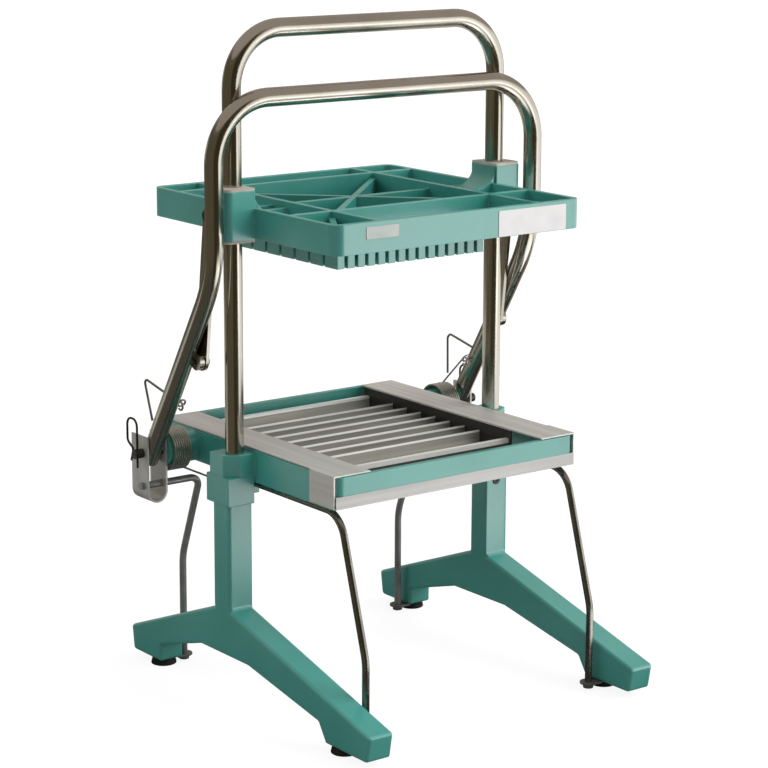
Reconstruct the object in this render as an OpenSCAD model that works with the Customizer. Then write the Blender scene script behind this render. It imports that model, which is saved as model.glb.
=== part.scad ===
// Lettuce slicer: a lever drives a finger block down two posts and through a row of knives.
// X runs to the right, Y to the rear, Z up. The origin is on the table under the middle of the object.
// Lengths along Y below are counted from the plane of the two guide posts, rear positive.

/* [Tubes] */
// Distance between the two guide post centres
post_spread = 335; // [320:1:350]
// Outside diameter of the bent tubes
tube_d = 19.05; // [18:0.05:20]
// Wall of the bent tubes
tube_wall = 1.65; // [1:0.05:3]
// Height of the centre of the guide loop's top bar
loop_height = 687.5; // [650:0.5:720]
// Centre line radius of the two bends of the guide loop
loop_bend = 57; // [45:1:70]

/* [Legs] */
// Thickness of a leg casting, left to right
leg_w = 29.5; // [26:0.5:34]
// How far a leg's middle lies outside the post centre
leg_out = 1.25; // [0:0.25:3]
// Front of the column before the post plane
column_front = 12; // [11:0.5:16]
// Rear of the column behind the post plane
column_rear = 16; // [12:0.5:22]
// Height where the column meets the two feet
crotch_height = 99; // [80:1:120]
// Reach of the front foot before the post plane
toe_reach = 251; // [220:1:280]
// Reach of the rear foot behind the post plane
heel_reach = 182; // [150:1:210]
// Height of the top of both foot tips
tip_height = 35; // [30:1:45]
// Height of the arch under the column
arch_height = 50; // [40:1:60]
// Height of a rubber foot, which is the height of the casting above the table
rubber_h = 8; // [8:0.5:16]
// Diameter of a rubber foot
rubber_d = 28; // [20:0.5:28]
// Bottom of the column's head
head_bottom = 210; // [190:1:215]
// Top of the column's head, where the tray's side boss rests
head_top = 239; // [234:1:245]

/* [Tray] */
// How far the post centres stand outside the tray's sides
post_stand = 14.5; // [13:0.5:17]
// Front of the tray before the post plane
tray_front = 155; // [145:1:165]
// Rear of the tray behind the post plane
tray_rear = 165; // [155:1:175]
// Bottom of the tray's side walls
tray_bottom = 232; // [228:1:234]
// Top of the tray's walls
tray_top = 265; // [262:0.5:270]
// Radius of the tray's corners seen from above
tray_corner = 10; // [9:0.5:14]
// Bottom of the tray's front wall, above the front band
front_wall_bottom = 246; // [242:0.5:252]
// Thickness of the side walls
side_wall = 8; // [5:0.5:10]
// Thickness of the front and rear walls
end_wall = 6; // [4:0.5:9]

/* [Knives] */
// Distance from knife to knife
knife_pitch = 25.4; // [20:0.1:30]
// Number of knives
knife_count = 7; // [5:1:7]
// Middle of the knife row behind the post plane
knife_mid = 24.6; // [15:0.2:30]
// Thickness of a knife
knife_t = 1; // [0.6:0.1:1.6]
// Height of a knife
knife_h = 14; // [10:0.5:18]
// How far the cutting edges lie below the tray's top
knife_drop = 8.5; // [6:0.5:14]
// Width of a blade rail
rail_w = 43; // [38:0.5:48]
// Thickness of the rail's sheet
rail_t = 1.4; // [1:0.1:2]
// Gap between a rail's plate and the tray's walls below it
rail_lift = 0.6; // [0.3:0.1:0.9]

/* [Pusher] */
// Bottom of the pusher's rim at rest
rim_bottom = 483; // [470:1:500]
// Height of the rim
rim_h = 30; // [24:1:38]
// How far the rim's sides lie inside the post centres
rim_stand = 12; // [11:0.5:15]
// Radius of the rim's corners seen from above
rim_corner = 12; // [8:0.5:16]
// Front of the rim before the post plane
rim_front = 156; // [145:1:165]
// Rear of the rim behind the post plane
rim_rear = 169.5; // [155:0.5:175]
// Thickness of the rim and of its inner walls
rim_wall = 6; // [4:0.5:8]
// How far the tops of the ribs lie below the rim's top
rib_drop = 6; // [3:0.5:10]
// Height of the fingers
finger_h = 15; // [12:0.5:18]
// Distance from finger to finger, left to right
finger_pitch = 12.7; // [11:0.1:13.4]
// Least room between the finger block and a blade rail
finger_room = 16; // [12:0.5:20]
// Width of the slots between fingers
finger_slot = 4.2; // [3:0.1:5]
// Thickness of the finger block above its slots
finger_base = 10; // [8:0.5:12]
// Half the width of a guide boss, and its reach beyond the post's centre
boss_r = 21; // [19:0.5:21.5]
// Radius of a guide boss's outer corners
boss_corner = 8; // [5:0.5:15]
// Height of a guide boss without its bushing flanges
boss_h = 49; // [44:1:60]

/* [Handle] */
// Room between a link and the guide boss that it passes
link_room = 1.1; // [0.8:0.1:3]
// Room between an arm and its link
arm_gap = 0.35; // [0.3:0.05:0.6]
// Distance of the handle's upright part before the post plane
grip_front = 21.5; // [21:0.5:26]
// Height of the centre of the handle's top bar
grip_height = 622; // [600:1:640]
// Centre line radius of the two upper bends of the handle
grip_bend = 63; // [50:1:70]
// Centre line radius of the bend above an arm
arm_bend = 150; // [110:5:170]
// Handle pivot behind the post plane
pivot_y = 101; // [95:1:108]
// Height of the handle pivot
pivot_z = 248; // [247:0.5:249]
// Diameter of the pivot pin
pin_d = 10; // [8:0.5:11]
// Lower link pivot behind the post plane
crank_y = 21.5; // [20:0.5:23]
// Height of the lower link pivot
crank_z = 356.5; // [354:0.5:359]
// Upper link pivot behind the post plane
wrist_y = 4; // [0:1:8]
// Height of the upper link pivot
wrist_z = 506; // [500:1:512]
// Width of a link
link_w = 20; // [18:0.5:22]
// Thickness of a link
link_t = 3.5; // [3:0.1:3.8]
// Diameter of the link bolts
link_bolt_d = 6; // [5:0.5:6.5]

/* [Springs and rods] */
// Wire of the lift springs
spring_wire = 2.2; // [1.6:0.1:2.4]
// Mean radius of the lift springs
spring_r = 21.6; // [20:0.1:22.4]
// Whole turns of a lift spring
spring_turns = 8; // [6:1:9]
// Gap between neighbouring turns
spring_gap = 0.45; // [0.42:0.01:0.5]
// Diameter of the stay rods
rod_d = 7.5; // [6:0.5:8]
// Depth of a pivot bracket, front to rear
bracket_d = 31; // [28:1:34]
// Sheet of a pivot bracket
bracket_t = 2; // [1.6:0.1:2.4]

/* [Hidden] */

$fn = 64;
casting = [0.24, 0.56, 0.5];
stainless = [0.72, 0.72, 0.7];
steel = [0.4, 0.4, 0.42];
rubber = [0.06, 0.06, 0.06];
nylon = [0.85, 0.83, 0.76];

// Radial running fit of a shaft or post in its hole
run_fit = 0.05;
// Radial room of a rod, wire or screw in a plain hole
hole_fit = 0.15;
// Room between faces that pass each other
slide_gap = 0.6;
// Overlap that joins two shapes of one casting
weld = 1;
// How far the straight parts of a bent bar run into its bends
bend_lap = 0.1;
// How much thinner a bar is in its bends
bend_thinning = 0.04;

// Shift that brings the middle of the object's depth to the origin
post_y = (toe_reach - heel_reach) / 2;
post_x = post_spread / 2;
tube_r = tube_d / 2;
arm_x = post_x + boss_r + link_room + link_t + arm_gap + tube_r;
leg_in_x = post_x + leg_out - leg_w / 2;
leg_out_x = leg_in_x + leg_w;
tray_x = post_x - post_stand;

// Feet
step_height = rubber_h + 19;
heel_block = 54;
toe_block = 68;
toe_step = 12;
heel_slant = 4;
toe_slant = 5;
arch_rear = 45;
arch_front = 43;
rubber_x = post_x + leg_out;
rubber_front_y = -191;
rubber_rear_y = 140;
stem_d = 8;
stem_h = 9;
// Head of the column
head_front = 14;
head_rear = 26.5;
head_out_x = post_x + 17;
socket_floor = 178;
screw_d = 6;
screw_z = socket_floor + 6;
screw_head_d = 9.6;
screw_head_h = 2.2;
// Depth of a screw's head in the casting
screw_sink = (column_front - tube_r) / 2;
socket_key = 5;

// Rods
rod_r = rod_d / 2;
rod_x = leg_in_x - rod_r - 4.8;
front_rod_z = tray_bottom - rod_r - 0.4;
front_rod_end = 14;
front_rod_corner = -152;
front_rod_foot = -194;
front_rod_knee = 88;
rear_rod_z = 213;
rear_rod_y = 100;
rear_rod_foot = 136;
rear_rod_knee = 118;
rod_tip = 1.5;
rod_elbow = 13;
front_elbow = 30;
rod_knee_bend = 60;
lug_in_x = rod_x - rod_r - 4;
clip_r = 9;
clip_h = 7;

// Post boss and pivot boss of the tray
tray_boss_top = tray_top - 3;
tray_boss_rear = 20;
// Chamfer of the post boss, left to right and front to rear
boss_chamfer_x = 14.5;
boss_chamfer_y = 10;
pivot_boss_r = 16.5;
bracket_gap = tube_d + 1;
bracket_in_x = arm_x - bracket_gap / 2 - bracket_t;
bracket_out_x = arm_x + bracket_gap / 2 + bracket_t;
bracket_rear = 122;
bracket_top = 266;
bracket_bottom = 195;
pin_in_x = tray_x - side_wall + 4;
pin_out_x = bracket_out_x + 10;
clip_wire = 2.4;
clip_x = bracket_out_x + 6;
clip_tail = 15;
clip_rise = 36;
clip_span = 19;
clip_shoulder = 11;
clip_neck_y = 7.5;
clip_neck_z = 4;
clip_lip_y = 12;
clip_lip_z = 9;
clip_bow = 8;
clip_bend = 6;
clip_neck_bend = 3;

// Knives and rails
rail_bottom = tray_top + rail_lift;
rail_top = rail_bottom + rail_t;
knife_top = tray_top - knife_drop;
rail_in_x = tray_x - rail_w;
knife_first = knife_mid - (knife_count - 1) / 2 * knife_pitch;
bar_t = 6;
bar_h = 16;
bar_front = knife_first - 46.4;
bar_back = 2 * knife_mid - bar_front;
rail_flange_h = 30;
// Front edge of a rail and its tab behind the tray's front
tab_back = 1.6;
tab_front = -tray_front + tab_back;
tab_len = 41;
tab_h = 33;
rail_room = 0.2;
rail_inset = 1;
// Front band: thickness, lip under the tray, and height of its lower edge over the tray's bottom
band_t = 4;
band_lip = 28;
band_lip_t = 2.5;
band_rise = 1.5;

// Pusher
rim_x = post_x - rim_stand;
rim_top = rim_bottom + rim_h;
floor_t = 5;
finger_count = floor((2 * (rail_in_x - finger_room) + finger_slot) / finger_pitch);
finger_x = (finger_count * finger_pitch - finger_slot) / 2;
finger_rows = knife_count + 1;
finger_y = (finger_rows * knife_pitch - finger_slot) / 2;
// Inner walls over the edges of the finger block
box_lip = 6.85;
box_x = finger_x + box_lip;
box_front = knife_mid - finger_y;
box_back = knife_mid + finger_y;
finger_top = rim_bottom - floor_t;
finger_root = finger_top - finger_base;
finger_bottom = finger_root - finger_h;
boss_bottom = rim_bottom - 1;
boss_top = boss_bottom + boss_h;
flange_t = 2.5;
bushing_r = tube_r + run_fit + 3;
bushing_len = 20;

// Handle and links
arm_rise = atan2(crank_z - pivot_z, pivot_y - crank_y);
// Distance of the lower link pivot from the arm's centre line
lug_off = 12.2;
crank_r = norm([crank_y - pivot_y, crank_z - pivot_z]);
// Angle of the arm's centre line from the upright, leaning forward
arm_lean = 90 - arm_rise - asin(lug_off / crank_r);
arm_dir = [0, -sin(arm_lean), cos(arm_lean)];
arm_tail = 12;
arm_corner_z = pivot_z + (pivot_y + grip_front) / tan(arm_lean);
link_out_x = arm_x - tube_r - arm_gap;
link_in_x = link_out_x - link_t;
lug_in = link_out_x + 0.6;
lug_t = 5.5;
lug_r = 9;
bolt_head_d = 12;
bolt_head_h = 4;
nut_h = 3.2;

// Springs
spring_pitch = spring_wire + spring_gap;
// Eye on the arm that the spring hooks into, and the hook
eye_s = 65;
eye_r = 4.2;
eye_shank = spring_wire - 0.4;
hook_r = 4.2;
hook_s = eye_s - hook_r;
// Angle at which the wire leaves the coil for the hook, and the part turn it takes to get there
leave_angle = 90 + arm_lean - acos((spring_r - hook_r) / hook_s);
leave_turn = (90 + leave_angle) / 360;
spring_out_x = bracket_in_x - 0.5 - spring_wire / 2;
spring_in_x = spring_out_x - (spring_turns + leave_turn) * spring_pitch;
eye_x = spring_out_x - 2;
spring_seat = 8;
// Latch wire in the arm
latch_wire = 2.6;
latch_x = arm_x - 2;
latch_s = 74;
latch_peak_y = 118;
latch_peak_z = 323;
latch_end_x = arm_x - 7;
latch_end_y = 111;
latch_end_z = 278;

function unit(v) = v / norm(v);

// Euler angles of the turn whose matrix has the columns a, b and c
function turn(a, b, c) =
  abs(a[2]) > 0.99999
    ? [atan2(-sign(a[2]) * b[0], b[1]), -90 * sign(a[2]), 0]
    : [atan2(b[2], c[2]), -asin(a[2]), atan2(a[1], a[0])];

// Round bar from point a to point b
module bar(a, b, d) {
  v = b - a;
  translate(a)
    rotate([0, acos(v[2] / norm(v)), atan2(v[1], v[0])])
      cylinder(d = d, h = norm(v));
}

// Corner angle of the path at point i
function corner(p, i) = acos(max(-1, min(1, unit(p[i] - p[i - 1]) * unit(p[i + 1] - p[i]))));

// Length that the bend at point i takes off each side
function trim(p, r, i) = (i == 0 || i == len(p) - 1) ? 0 : r[i] * tan(corner(p, i) / 2);

// Round bar of diameter d through the points p, bent with the radii r at its inner points
module bent_bar(p, r, d) {
  for (i = [0 : len(p) - 2]) {
    u = unit(p[i + 1] - p[i]);
    a = i == 0 ? 0 : trim(p, r, i) - bend_lap;
    b = i == len(p) - 2 ? 0 : trim(p, r, i + 1) - bend_lap;
    bar(p[i] + u * a, p[i + 1] - u * b, d);
  }
  for (i = [1 : len(p) - 2]) {
    u = unit(p[i] - p[i - 1]);
    v = unit(p[i + 1] - p[i]);
    w = unit(cross(u, v));
    n = cross(w, u);
    translate(p[i] - u * trim(p, r, i) + n * r[i])
      rotate(turn(-n, u, w))
        rotate_extrude(angle = corner(p, i))
          translate([r[i], 0])
            circle(d = d - bend_thinning);
  }
}

// Bent tube with open ends
module bent_tube(p, r, d, wall) {
  difference() {
    bent_bar(p, r, d);
    bent_bar(p, r, d - 2 * wall);
  }
}

module placed() {
  translate([0, post_y, 0])
    children();
}

module flip() {
  mirror([1, 0, 0])
    children();
}

// Cylinder along X between two stations
module cross_bar(x0, x1, y, z, d) {
  translate([x0, y, z])
    rotate([0, 90, 0])
      cylinder(d = d, h = x1 - x0);
}

module box(x0, x1, y0, y1, z0, z1) {
  translate([x0, y0, z0])
    cube([x1 - x0, y1 - y0, z1 - z0]);
}

// Oblong from -x to x and y0 to y1 with round corners, seen from above
module oblong(x, y0, y1, r) {
  translate([-x + r, y0])
    square([2 * (x - r), y1 - y0]);
  translate([-x, y0 + r])
    square([2 * x, y1 - y0 - 2 * r]);
  for (cx = [-x + r, x - r], cy = [y0 + r, y1 - r])
    translate([cx, cy])
      circle(r = r);
}

// Outline of an open frame with round corners, its side walls and its end walls
module frame_outline(x, y0, y1, r, side, end) {
  difference() {
    oblong(x, y0, y1, r);
    oblong(x - side, y0 + end, y1 - end, r - max(side, end));
  }
}

// Plate in the plane of Y and Z, from x0, of thickness t
module side_plate(x0, t) {
  translate([x0, 0, 0])
    rotate([90, 0, 90])
      linear_extrude(t)
        children();
}

module leg_outline() {
  polygon([
    [column_rear, head_bottom + weld],
    [column_rear, crotch_height],
    [heel_reach, tip_height],
    [heel_reach - heel_slant, rubber_h],
    [heel_reach - heel_slant - heel_block, rubber_h],
    [heel_reach - heel_slant - heel_block, step_height],
    [arch_rear, arch_height],
    [-arch_front, arch_height],
    [-toe_reach + toe_slant + toe_block + toe_step, step_height],
    [-toe_reach + toe_slant + toe_block, rubber_h],
    [-toe_reach + toe_slant, rubber_h],
    [-toe_reach, tip_height],
    [-column_front, crotch_height],
    [-column_front, head_bottom + weld]
  ]);
}

// Screw that clamps the right post, in front of it or, turned by 180 degrees, behind it, with room all round
module post_screw(turned, room) {
  face = turned == 0 ? column_front : column_rear;
  translate([post_x, 0, screw_z])
    rotate([90, 0, turned]) {
      translate([0, 0, tube_r + run_fit])
        cylinder(d = screw_d + 2 * room, h = face - screw_sink - tube_r);
      translate([0, 0, face - screw_sink])
        cylinder(d = screw_head_d + 2 * room, h = room > 0 ? screw_sink + weld : screw_head_h);
    }
}

// Leg on the right side
module leg(screw_turn) {
  difference() {
    union() {
      side_plate(leg_in_x, leg_w)
        leg_outline();
      box(tray_x + 0.3, head_out_x, -head_front, head_rear, head_bottom, head_top);
      box(lug_in_x, tray_x + weld, 0, head_rear, head_bottom + 6, tray_bottom);
    }
    translate([post_x, 0, socket_floor])
      cylinder(r = tube_r + run_fit, h = head_top - socket_floor + weld);
    translate([rod_x, -weld, front_rod_z])
      rotate([-90, 0, 0])
        cylinder(r = rod_r + hole_fit, h = front_rod_end + weld);
    translate([spring_in_x, head_rear - spring_seat, pivot_z - spring_r])
      rotate([-90, 0, 0])
        cylinder(r = spring_wire / 2 + 2 * hole_fit, h = spring_seat + weld);
    post_screw(screw_turn, hole_fit);
    for (y = [rubber_front_y, rubber_rear_y])
      translate([rubber_x, y, rubber_h - weld])
        cylinder(d = stem_d + 2 * hole_fit, h = stem_h + weld);
  }
}

module left_leg() {
  color(casting)
    placed()
      flip()
        leg(180);
}

module right_leg() {
  color(casting)
    placed()
      leg(0);
}

module rubber_feet() {
  color(rubber)
    placed()
      for (x = [-rubber_x, rubber_x], y = [rubber_front_y, rubber_rear_y])
        translate([x, y, 0]) {
          cylinder(d1 = rubber_d, d2 = rubber_d - 4, h = rubber_h);
          translate([0, 0, rubber_h - weld])
            cylinder(d = stem_d, h = stem_h);
        }
}

// Boss of the tray round a post, and the boss that carries the handle pivot
module tray_bosses() {
  translate([0, 0, head_top])
    linear_extrude(tray_boss_top - head_top)
      polygon([
        [tray_x - weld, -head_front],
        [head_out_x - boss_chamfer_x, -head_front],
        [head_out_x, -head_front + boss_chamfer_y],
        [head_out_x, tray_boss_rear],
        [tray_x - weld, tray_boss_rear]
      ]);
  cross_bar(tray_x - weld, bracket_in_x - 0.4, pivot_y, pivot_z, 2 * pivot_boss_r);
}

module tray_bores() {
  translate([post_x, 0, head_top - weld])
    cylinder(r = tube_r + run_fit, h = tray_boss_top - head_top + 2 * weld);
  cross_bar(pin_in_x, bracket_in_x, pivot_y, pivot_z, pin_d + 2 * run_fit);
}

module base_tray() {
  color(casting)
    placed()
      difference() {
        union() {
          translate([0, 0, tray_bottom])
            linear_extrude(tray_top - tray_bottom)
              frame_outline(tray_x, -tray_front, tray_rear, tray_corner, side_wall, end_wall);
          for (s = [0, 1])
            mirror([s, 0, 0])
              tray_bosses();
        }
        box(-tray_x - weld, tray_x + weld, -tray_front - weld, -tray_front + end_wall, tray_bottom - weld,
          front_wall_bottom);
        for (s = [0, 1])
          mirror([s, 0, 0])
            tray_bores();
      }
}

module front_band() {
  color(stainless)
    placed() {
      box(-tray_x + rail_room, tray_x - rail_room, -tray_front, -tray_front + band_t, tray_bottom + band_rise,
        front_wall_bottom);
      box(-tray_x + side_wall + rail_room, tray_x - side_wall - rail_room, -tray_front, -tray_front + band_lip,
        tray_bottom + band_rise, tray_bottom + band_rise + band_lip_t);
    }
}

module guide_loop() {
  color(stainless)
    placed()
      bent_tube([
        [post_x, 0, socket_floor],
        [post_x, 0, loop_height],
        [-post_x, 0, loop_height],
        [-post_x, 0, socket_floor]
      ], [0, loop_bend, loop_bend, 0], tube_d, tube_wall);
}

// Socket for the key in the head of a post screw
module screw_socket(turned) {
  face = turned == 0 ? column_front : column_rear;
  translate([post_x, 0, screw_z])
    rotate([90, 0, turned])
      translate([0, 0, face - screw_sink + screw_head_h / 2])
        cylinder(d = socket_key, h = screw_head_h, $fn = 6);
}

module post_screws() {
  color(steel)
    placed() {
      difference() {
        post_screw(0, 0);
        screw_socket(0);
      }
      flip()
        difference() {
          post_screw(180, 0);
          screw_socket(180);
        }
    }
}

// Rail on the right side
module blade_rail() {
  difference() {
    union() {
      box(rail_in_x, tray_x + rail_room + rail_t, tab_front, tab_front + tab_len, rail_bottom, rail_top);
      box(rail_in_x, tray_x - rail_inset, tab_front + tab_len - weld, tray_rear - end_wall - rail_room, rail_bottom,
        rail_top);
      box(tray_x + rail_room, tray_x + rail_room + rail_t, tab_front, tab_front + tab_len, rail_top - tab_h, rail_top);
      box(rail_in_x, rail_in_x + rail_t, bar_front - bar_t, bar_back + bar_t, rail_top - rail_flange_h, rail_top);
    }
    for (i = [0 : knife_count - 1])
      box(rail_in_x - weld, rail_in_x + rail_t + weld, knife_first + i * knife_pitch - knife_t / 2 - hole_fit,
        knife_first + i * knife_pitch + knife_t / 2 + hole_fit, knife_top - knife_h - hole_fit, knife_top + hole_fit);
  }
}

module blade_rail_left() {
  color(stainless)
    placed()
      flip()
        blade_rail();
}

module blade_rail_right() {
  color(stainless)
    placed()
      blade_rail();
}

module knives() {
  color(stainless)
    placed()
      for (i = [0 : knife_count - 1])
        translate([0, knife_first + i * knife_pitch, knife_top - knife_h])
          side_plate(-rail_in_x - rail_t - 1, 2 * (rail_in_x + rail_t + 1))
            polygon([[-knife_t / 2, 0], [knife_t / 2, 0], [knife_t / 2, knife_h - 3], [0.1, knife_h],
              [-0.1, knife_h], [-knife_t / 2, knife_h - 3]]);
}

module cartridge_bar(y) {
  box(-rail_in_x, rail_in_x, y - bar_t / 2, y + bar_t / 2, knife_top - bar_h, knife_top);
}

module front_bar() {
  color(stainless)
    placed()
      cartridge_bar(bar_front);
}

module back_bar() {
  color(stainless)
    placed()
      cartridge_bar(bar_back);
}

// Outline of a guide boss seen from above, on the right side
module boss_outline(r) {
  reach = post_x + r - rim_x + weld;
  translate([rim_x - weld, -r])
    square([reach - boss_corner, 2 * r]);
  translate([rim_x - weld, boss_corner - r])
    square([reach, 2 * (r - boss_corner)]);
  for (y = [boss_corner - r, r - boss_corner])
    translate([post_x + r - boss_corner, y])
      circle(r = boss_corner);
}

// Upright wall between two points seen from above
module wall(a, b, z0, z1) {
  v = b - a;
  translate([a[0], a[1], z0])
    rotate([0, 0, atan2(v[1], v[0])])
      translate([0, -rim_wall / 2, 0])
        cube([norm(v), rim_wall, z1 - z0]);
}

// Web with a hollow edge that stiffens a boss from inside the rim
module gusset() {
  reach = 24;
  translate([0, rim_wall, 0])
    rotate([90, 0, 0])
      linear_extrude(2 * rim_wall)
        difference() {
          translate([rim_x - reach, rim_top - rib_drop - weld])
            square([reach, boss_top - rim_top + rib_drop + weld]);
          translate([rim_x - reach - weld, boss_top])
            circle(r = reach);
        }
}

module pusher_head() {
  rib_top = rim_top - rib_drop;
  color(casting)
    placed()
      difference() {
        union() {
          translate([0, 0, rim_bottom])
            linear_extrude(rim_h)
              frame_outline(rim_x, -rim_front, rim_rear, rim_corner, rim_wall, rim_wall);
          for (s = [0, 1])
            mirror([s, 0, 0]) {
              wall([box_x, -rim_front + rim_wall / 2], [box_x, rim_rear - rim_wall / 2], rim_bottom, rim_top);
              wall([box_x, box_front], [-box_x, box_back], rim_bottom, rib_top);
              wall([box_x, box_front], [rim_x - rim_corner / 2, -rim_front + rim_corner / 2], rim_bottom, rib_top);
              wall([box_x, box_back], [rim_x - rim_corner / 2, rim_rear - rim_corner / 2], rim_bottom, rib_top);
              translate([0, 0, boss_bottom])
                linear_extrude(boss_h)
                  boss_outline(boss_r);
              gusset();
            }
          wall([-rim_x + weld, box_front], [rim_x - weld, box_front], rim_bottom, rim_top);
          wall([-rim_x + weld, box_back], [rim_x - weld, box_back], rim_bottom, rim_top);
          wall([-rim_x + weld, knife_mid], [rim_x - weld, knife_mid], rim_bottom, rib_top);
          wall([-rim_x + weld, 0], [-box_x, 0], rim_bottom, rib_top);
          wall([box_x, 0], [rim_x - weld, 0], rim_bottom, rib_top);
          box(-box_x, box_x, box_front, box_back, rim_bottom - floor_t, rim_bottom);
        }
        for (x = [-post_x, post_x])
          translate([x, 0, boss_bottom - weld])
            cylinder(r = bushing_r, h = boss_h + 2 * weld);
      }
}

module finger_block() {
  color(casting)
    placed()
      translate([0, knife_mid, 0])
        difference() {
          box(-finger_x, finger_x, -finger_y, finger_y, finger_bottom, finger_top);
          for (i = [1 : finger_count - 1])
            translate([-finger_x - finger_slot + i * finger_pitch, -finger_y - weld, finger_bottom - weld])
              cube([finger_slot, 2 * (finger_y + weld), finger_h + weld]);
          for (i = [1 : finger_rows - 1])
            translate([-finger_x - weld, -finger_y - finger_slot + i * knife_pitch, finger_bottom - weld])
              cube([2 * (finger_x + weld), finger_slot, finger_h + weld]);
        }
}

// Flanged bushing of the right post, flange at height z, sleeve going up or down from it
module bushing(z, up) {
  difference() {
    union() {
      translate([0, 0, z])
        linear_extrude(flange_t)
          boss_outline(boss_r - 0.5);
      translate([post_x, 0, up ? z : z + flange_t - bushing_len])
        cylinder(r = bushing_r - 0.01, h = bushing_len);
    }
    translate([post_x, 0, z - bushing_len - weld])
      cylinder(r = tube_r + run_fit, h = 2 * bushing_len + flange_t + 2 * weld);
  }
}

module guide_bushings() {
  color(nylon)
    placed()
      for (s = [0, 1])
        mirror([s, 0, 0]) {
          bushing(boss_bottom - flange_t, true);
          bushing(boss_top, false);
        }
}

// Ear on the right arm that carries the lower link pivot
module link_lug() {
  side_plate(lug_in, lug_t)
    translate([crank_y, crank_z]) {
      circle(r = lug_r);
      rotate(arm_lean)
        translate([0, -lug_r])
          square([lug_off, 2 * lug_r]);
    }
}

module handle_loop() {
  tail = [0, pivot_y, pivot_z] - arm_tail * arm_dir;
  across = [arm_x, 0, 0];
  corner_low = [0, -grip_front, arm_corner_z];
  corner_top = [0, -grip_front, grip_height];
  path = [tail + across, corner_low + across, corner_top + across, corner_top - across, corner_low - across,
    tail - across];
  bends = [0, arm_bend, grip_bend, grip_bend, arm_bend, 0];
  color(stainless)
    placed()
      difference() {
        union() {
          bent_bar(path, bends, tube_d);
          for (s = [0, 1])
            mirror([s, 0, 0])
              link_lug();
        }
        bent_bar(path, bends, tube_d - 2 * tube_wall);
        for (s = [0, 1])
          mirror([s, 0, 0]) {
            cross_bar(arm_x - tube_d, arm_x + tube_d, pivot_y, pivot_z, pin_d + 2 * run_fit);
            cross_bar(lug_in - weld, lug_in + lug_t + weld, crank_y, crank_z, link_bolt_d + 2 * run_fit);
            bar(latch_root, latch_peak, latch_wire + 2 * hole_fit);
            cross_bar(eye_x, arm_x - tube_r + tube_wall, pivot_y + eye_s * arm_dir[1], pivot_z + eye_s * arm_dir[2],
              eye_shank + 2 * run_fit);
          }
      }
}

module lower_link_bolts() {
  color(steel)
    placed()
      for (s = [0, 1])
        mirror([s, 0, 0]) {
          cross_bar(link_in_x - 0.3 - nut_h, lug_in + lug_t, crank_y, crank_z, link_bolt_d);
          cross_bar(link_in_x - 0.3 - nut_h, link_in_x - 0.3, crank_y, crank_z, bolt_head_d);
        }
}

// Link on the right side
module link() {
  v = [wrist_y - crank_y, wrist_z - crank_z];
  side_plate(link_in_x, link_t)
    difference() {
      union() {
        for (p = [[crank_y, crank_z], [wrist_y, wrist_z]])
          translate(p)
            circle(d = link_w);
        translate([crank_y, crank_z])
          rotate(atan2(v[1], v[0]))
            translate([0, -link_w / 2])
              square([norm(v), link_w]);
      }
      for (p = [[crank_y, crank_z], [wrist_y, wrist_z]])
        translate(p)
          circle(r = link_bolt_d / 2 + run_fit);
    }
}

module link_left() {
  color(stainless)
    placed()
      flip()
        link();
}

module link_right() {
  color(stainless)
    placed()
      link();
}

module upper_link_bolts() {
  color(steel)
    placed()
      for (s = [0, 1])
        mirror([s, 0, 0]) {
          cross_bar(post_x + boss_r + 0.35, link_out_x + weld, wrist_y, wrist_z, link_bolt_d);
          cross_bar(link_out_x, link_out_x + bolt_head_h, wrist_y, wrist_z, bolt_head_d);
        }
}

// Pivot bracket on the right side: a strap bent to a U that holds the arm's end
module bracket() {
  outer_r = (bracket_out_x - bracket_in_x) / 2;
  difference() {
    translate([arm_x, bracket_rear, bracket_bottom + outer_r])
      rotate([90, 0, 0])
        linear_extrude(bracket_d)
          difference() {
            union() {
              circle(r = outer_r);
              translate([-outer_r, 0])
                square([2 * outer_r, bracket_top - bracket_bottom - outer_r]);
            }
            circle(r = outer_r - bracket_t);
            translate([-outer_r + bracket_t, 0])
              square([2 * (outer_r - bracket_t), bracket_top]);
          }
    cross_bar(bracket_in_x - weld, bracket_out_x + weld, pivot_y, pivot_z, pin_d + 2 * run_fit);
    cross_bar(bracket_in_x - weld, bracket_out_x + weld, rear_rod_y, rear_rod_z, rod_d + 2 * hole_fit);
  }
}

module bracket_left() {
  color(stainless)
    placed()
      flip()
        bracket();
}

module bracket_right() {
  color(stainless)
    placed()
      bracket();
}

module pivot_pins() {
  color(steel)
    placed()
      for (s = [0, 1])
        mirror([s, 0, 0])
          difference() {
            cross_bar(pin_in_x, pin_out_x, pivot_y, pivot_z, pin_d);
            translate([clip_x, pivot_y, pivot_z - pin_d])
              cylinder(d = clip_wire + 2 * hole_fit, h = 2 * pin_d);
          }
}

// Hairpin clip on the right pin: one leg through the pin, one leg bent round it
module pin_clip() {
  y = pivot_y;
  z = pivot_z;
  bent_bar([
    [clip_x, y, z - clip_tail],
    [clip_x, y, z + clip_rise],
    [clip_x, y + clip_span, z + clip_rise],
    [clip_x, y + clip_span, z + clip_shoulder],
    [clip_x, y + clip_neck_y, z + clip_neck_z],
    [clip_x, y + clip_lip_y, z - clip_lip_z]
  ], [0, clip_bow, clip_bow, clip_bend, clip_neck_bend, 0], clip_wire);
}

module pin_clips() {
  color(steel)
    placed()
      for (s = [0, 1])
        mirror([s, 0, 0])
          pin_clip();
}

// Point of the coil after a turns from its lowest point
function coil_point(a) = [
  spring_in_x + a * spring_pitch,
  pivot_y + spring_r * cos(360 * a - 90),
  pivot_z + spring_r * sin(360 * a - 90)
];

// Point of the spring's hook at angle a round the hook's middle
function hook_point(a) = [
  eye_x,
  pivot_y - hook_s * sin(arm_lean) + hook_r * cos(a),
  pivot_z + hook_s * cos(arm_lean) + hook_r * sin(a)
];

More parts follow.
